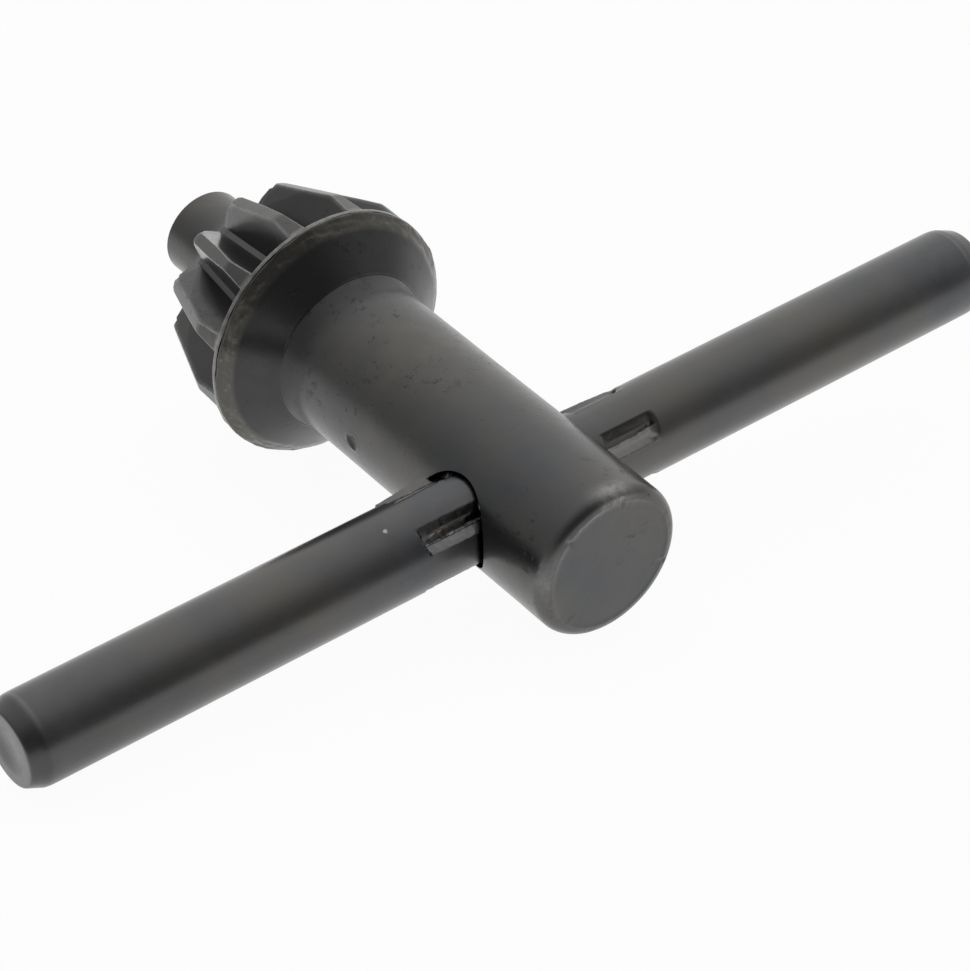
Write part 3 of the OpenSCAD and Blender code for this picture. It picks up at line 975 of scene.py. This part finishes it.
class ChuckKeyOperator(bpy.types.Operator):
    bl_options = {"REGISTER", "UNDO"}


class CHUCKKEY_OT_body(ChuckKeyOperator):
    """Builds the key body: shank, cross hole, flange, pinion and pilot in one piece"""
    bl_idname = "chuck_key.body"
    bl_label = "Key Body"

    def execute(self, context):
        scene = context.scene
        body = in_units(scene.chuck_key_body)
        pinion = in_units(scene.chuck_key_pinion)
        add_head_places(body, pinion)
        rings, start, end = body_rings(body, pinion)
        mesh = ring_mesh("key_body_steel", rings, start, end)
        mesh = bore(mesh, hole_cutter(body))
        mesh.name = "key_body_steel"
        points = points_of(mesh)
        body_masks(mesh, points, body, pinion)
        set_points(mesh, roughen_body(points, body, pinion))
        matrix = rest_pose(body, in_units(scene.chuck_key_bar))
        material = body_material(in_units(scene.chuck_key_finish))
        place(mesh, "key_body_steel", matrix, "key_body", material)
        return {"FINISHED"}


class CHUCKKEY_OT_bar(ChuckKeyOperator):
    """Builds the handle bar with its stake marks"""
    bl_idname = "chuck_key.bar"
    bl_label = "Handle Bar"

    def execute(self, context):
        scene = context.scene
        bar = in_units(scene.chuck_key_bar)
        rows, low, high = bar_rows(bar)
        turn = np.radians(bar_knots(bar))
        rings = [np.stack([x + 0 * turn, -r * np.cos(turn), r * np.sin(turn)], axis=1) for x, r in rows]
        mesh = ring_mesh("handle_bar", rings, (low, 0, 0), (high, 0, 0))
        points = points_of(mesh)
        radius = np.hypot(points[:, 1], points[:, 2])
        turn = np.degrees(np.arctan2(points[:, 2], -points[:, 1])) % 360
        height, torn, streak, dark = stake_shape(points[:, 0], turn, bar)
        lightened, end_darkening, dish = end_shape(points[:, 0], radius, turn, bar, low, high)
        # The torn mask also carries the painted highlight on the upper side of the bevels' ridges, and the
        # lighter outer ring of the end faces
        set_mask(mesh, "torn", np.maximum(torn, lightened))
        set_mask(mesh, "streak", streak * 0.8)
        # The dark mask carries painted shade on the upper walls of the stake marks and on the bevels, and
        # the darker middle of the end faces
        set_mask(mesh, "dark", np.maximum(dark * 0.9, end_darkening))
        points[:, 0] += dish
        height = height + 0.006 * speckle(points, 5.0, 21) + 0.003 * speckle(points, 0.7, 22)
        outward = points * (0, 1, 1) / np.maximum(radius, 1e-6)[:, None]
        outward[radius < bar.radius - bar.bevel_depth - 0.02] = 0
        set_points(mesh, points + outward * height[:, None])
        mesh.flip_normals()
        matrix = rest_pose(in_units(scene.chuck_key_body), bar)
        material = bar_material(in_units(scene.chuck_key_finish))
        place(mesh, "handle_bar", matrix, "tommy_bar", material)
        return {"FINISHED"}


class CHUCKKEY_OT_studio(ChuckKeyOperator):
    """Builds the white floor, the soft surround and the camera"""
    bl_idname = "chuck_key.studio"
    bl_label = "Studio"

    def execute(self, context):
        scene = context.scene
        studio = in_units(scene.chuck_key_studio)
        self.floor(studio)
        scene.world = surround_world(studio)
        self.camera(scene, studio)
        scene.view_settings.view_transform = "Standard"
        return {"FINISHED"}

    def floor(self, studio):
        half = 6.0  # metres
        corners = [(-half, -half, 0), (half, -half, 0), (half, half, 0), (-half, half, 0)]
        mesh = bpy.data.meshes.new("studio_floor")
        mesh.from_pydata(corners, [], [(0, 1, 2, 3)])
        mesh.materials.append(floor_material(studio))
        add_object("studio_floor", mesh)

    def camera(self, scene, studio):
        azimuth, elevation = radians(studio.azimuth), radians(studio.elevation)
        back = Vector((sin(azimuth) * cos(elevation), -cos(azimuth) * cos(elevation), sin(elevation)))
        data = bpy.data.cameras.new("studio_camera")
        data.lens = studio.lens
        data.sensor_fit = "HORIZONTAL"
        data.sensor_width = 36
        data.clip_start = 0.01
        camera = add_object("studio_camera", data)
        upright = (-back).to_track_quat("-Z", "Y").to_matrix().to_4x4()
        tilt = Matrix.Rotation(radians(studio.roll), 4, "Z")
        stand = Matrix.Translation(Vector(studio.aim) + back * studio.distance / MM)
        camera.matrix_world = stand @ upright @ tilt
        scene.camera = camera


class CHUCKKEY_PT_panel(bpy.types.Panel):
    """Lists the sizes, the finish and the builders of the key"""
    bl_label = "Drill Chuck Key"
    bl_idname = "CHUCKKEY_PT_panel"
    bl_space_type = "VIEW_3D"
    bl_region_type = "UI"
    bl_category = "Chuck Key"

    def draw(self, context):
        for label, group, operator in PANEL_ROWS:
            box = self.layout.box()
            box.label(text=label)
            values = getattr(context.scene, group)
            for prop in own_properties(values):
                box.prop(values, prop.identifier)
            if operator:
                box.operator(operator)


PANEL_ROWS = (
    ("Shank and flange", "chuck_key_body", None),
    ("Pinion and pilot", "chuck_key_pinion", CHUCKKEY_OT_body.bl_idname),
    ("Handle bar", "chuck_key_bar", CHUCKKEY_OT_bar.bl_idname),
    ("Finish", "chuck_key_finish", None),
    ("Studio", "chuck_key_studio", CHUCKKEY_OT_studio.bl_idname),
)
GROUPS = {
    "chuck_key_body": ChuckKeyBodySizes,
    "chuck_key_pinion": ChuckKeyPinionSizes,
    "chuck_key_bar": ChuckKeyBarSizes,
    "chuck_key_finish": ChuckKeyFinish,
    "chuck_key_studio": ChuckKeyStudio,
}
CLASSES = (*GROUPS.values(), CHUCKKEY_OT_body, CHUCKKEY_OT_bar, CHUCKKEY_OT_studio, CHUCKKEY_PT_panel)


def register():
    for item in CLASSES:
        bpy.utils.register_class(item)
    for name, group in GROUPS.items():
        setattr(bpy.types.Scene, name, bpy.props.PointerProperty(type=group))


def unregister():
    for name in GROUPS:
        delattr(bpy.types.Scene, name)
    for item in reversed(CLASSES):
        bpy.utils.unregister_class(item)


def write_sizes():
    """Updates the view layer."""
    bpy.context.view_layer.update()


def main():
    register()
    bpy.ops.chuck_key.studio()
    bpy.ops.chuck_key.body()
    bpy.ops.chuck_key.bar()
    write_sizes()


if __name__ == "__main__":
    main()
